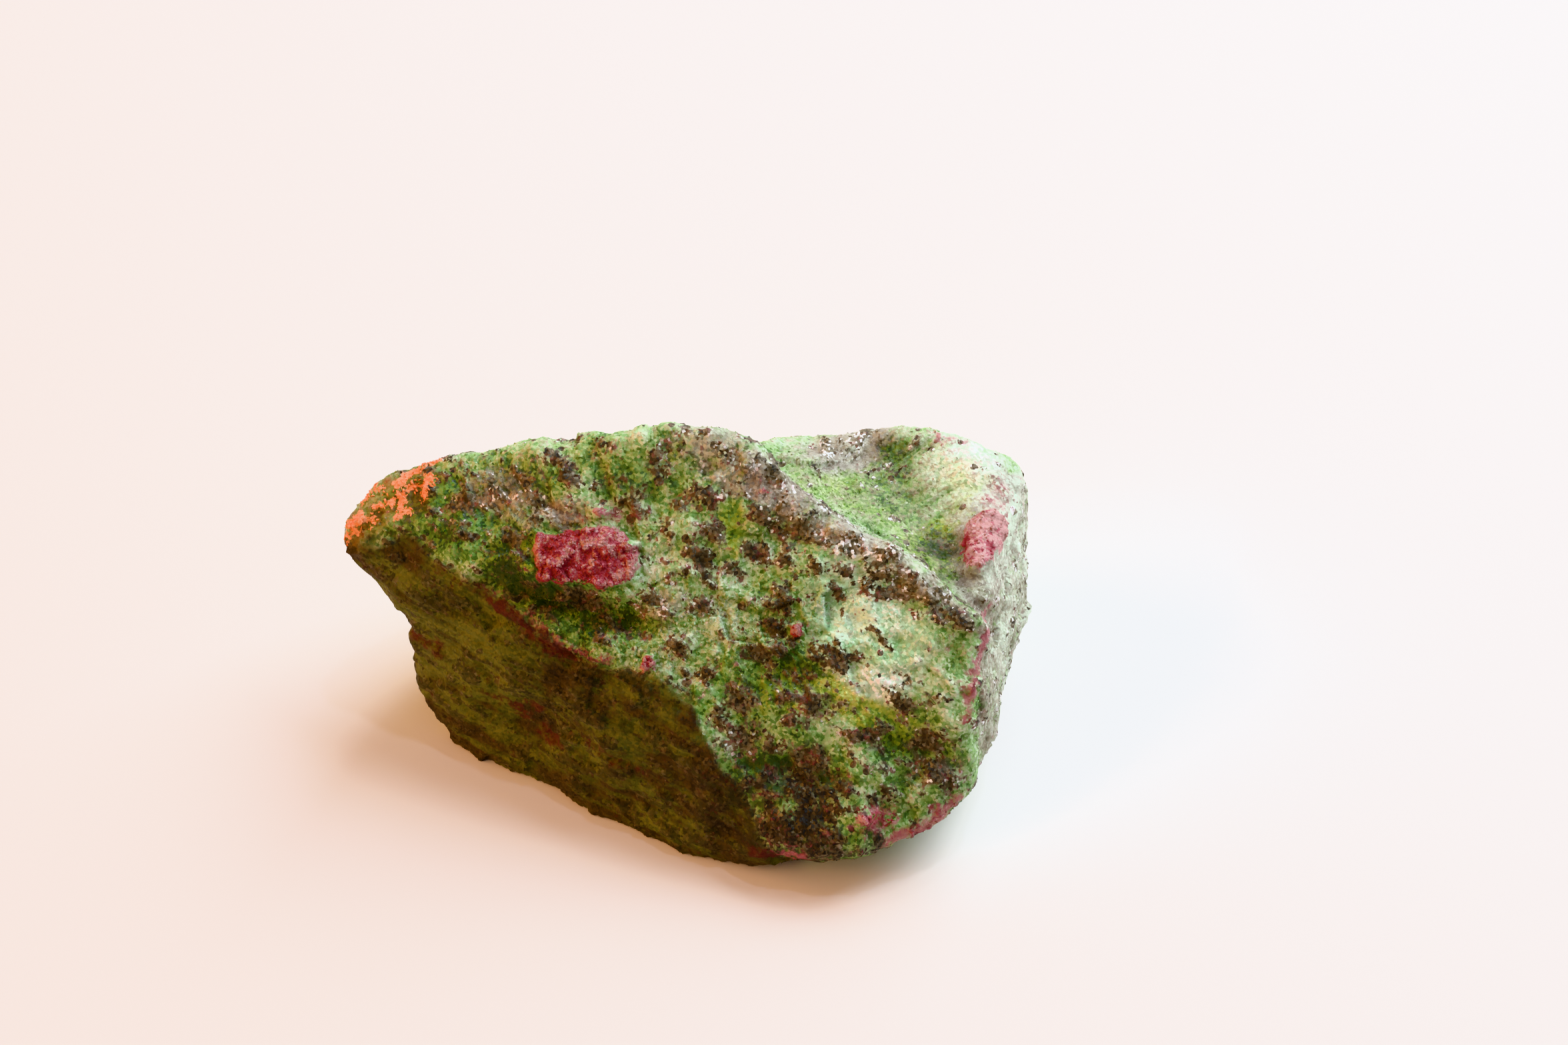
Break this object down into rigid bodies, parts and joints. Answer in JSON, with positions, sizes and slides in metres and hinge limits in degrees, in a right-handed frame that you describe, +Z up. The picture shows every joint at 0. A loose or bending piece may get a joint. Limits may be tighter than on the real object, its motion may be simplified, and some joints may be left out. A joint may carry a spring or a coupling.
{
  "type": "rough ruby in zoisite stone",
  "caption": "Rough hand specimen of green zoisite with crimson ruby crystals and dark hornblende grains, broken on every side, resting on its flattest break.",
  "frame": {"origin": "under the middle of the stone's box, on the plane that it rests on", "axes": "+X along the stone's length towards the low shoulder, -Y towards the broad sloping face, +Z up out of the resting face"},
  "size_m": [0.0712, 0.0468, 0.0339],
  "materials": {
    "zoisite_rock": "fresh granular break, sugary green zoisite with brown-black hornblende clots and crimson ruby crystals, partly dusty"
  },
  "bodies": {
    "root": {"rough_stone": "zoisite_rock"}
  },
  "joints": []
}
